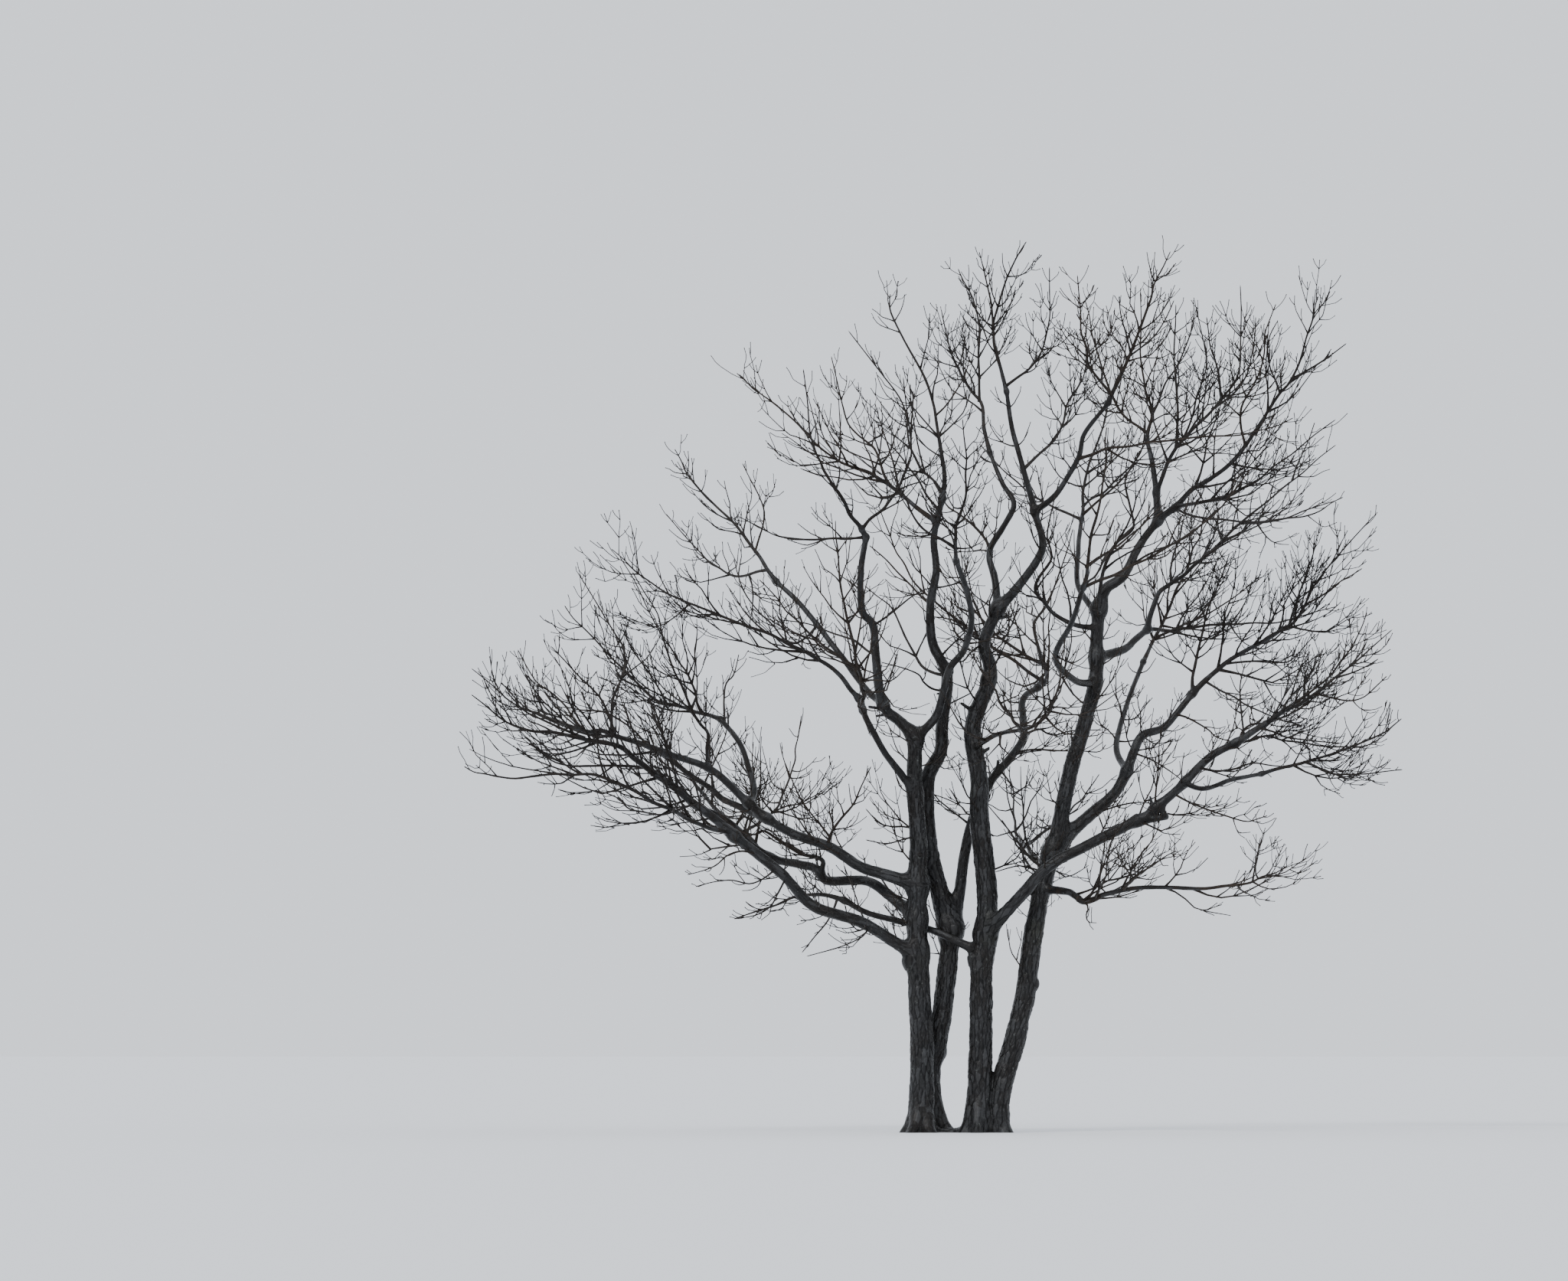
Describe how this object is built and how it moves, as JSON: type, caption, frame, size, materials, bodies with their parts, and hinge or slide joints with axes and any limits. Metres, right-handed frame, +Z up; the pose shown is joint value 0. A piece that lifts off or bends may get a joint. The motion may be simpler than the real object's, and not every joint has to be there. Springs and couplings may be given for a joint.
{
  "type": "bare winter tree",
  "caption": "Leafless broadleaf tree in winter: a clump of stems from one root crown, long ascending boughs and sprays of bare twigs, cut flat at ground level.",
  "frame": {"origin": "on the flat cut at ground level, on the low wood between the two pairs of stems", "axes": "+Z up, +X to the right of the front view, +Y away from the front view"},
  "size_m": [10.7426, 7.6094, 10.5253],
  "materials": {
    "bark": "matt dark grey-brown bark in small upright plates, with paler grey blotches",
    "twigs": "matt dark brown twig bark"
  },
  "bodies": {
    "root": {"root_crown": "bark", "stem_left": "bark", "stem_rear": "bark", "stem_centre": "bark", "stem_right": "bark", "bough_left_low": "bark", "bough_left_mid": "bark", "bough_left_high": "bark", "bough_left_rise": "bark", "bough_left_front": "bark", "bough_left_up": "bark", "bough_left_back": "bark", "bough_inner_up": "bark", "bough_inner_front": "bark", "bough_rear_right": "bark", "bough_centre_low": "bark", "bough_centre_left": "bark", "bough_centre_right": "bark", "bough_centre_top": "bark", "bough_right_low": "bark", "bough_right_under": "bark", "bough_right_mid": "bark", "bough_right_rise": "bark", "bough_right_inner": "bark", "bough_right_front": "bark", "bough_right_back": "bark", "bough_right_top": "bark", "bough_right_peak": "bark", "spray_left_low": "twigs", "spray_left_mid": "twigs", "spray_left_high": "twigs", "spray_left_rise": "twigs", "spray_left_inner": "twigs", "spray_left_hang": "twigs", "spray_left_long": "twigs", "spray_left_front": "twigs", "spray_left_back": "twigs", "spray_left_top": "twigs", "spray_inner_reach": "twigs", "spray_inner_top": "twigs", "spray_front": "twigs", "spray_rear_right": "twigs", "spray_centre_left": "twigs", "spray_summit": "twigs", "spray_centre_top": "twigs", "spray_right_low": "twigs", "spray_right_under": "twigs", "spray_right_foot": "twigs", "spray_right_knob": "twigs", "spray_right_mid": "twigs", "spray_right_rear": "twigs", "spray_right_inner": "twigs", "spray_right_heart": "twigs", "spray_right_front": "twigs", "spray_right_back": "twigs", "spray_right_top": "twigs", "spray_right_peak": "twigs", "spray_right_crest": "twigs", "spray_back_low": "twigs", "spray_front_mid": "twigs"}
  },
  "joints": []
}
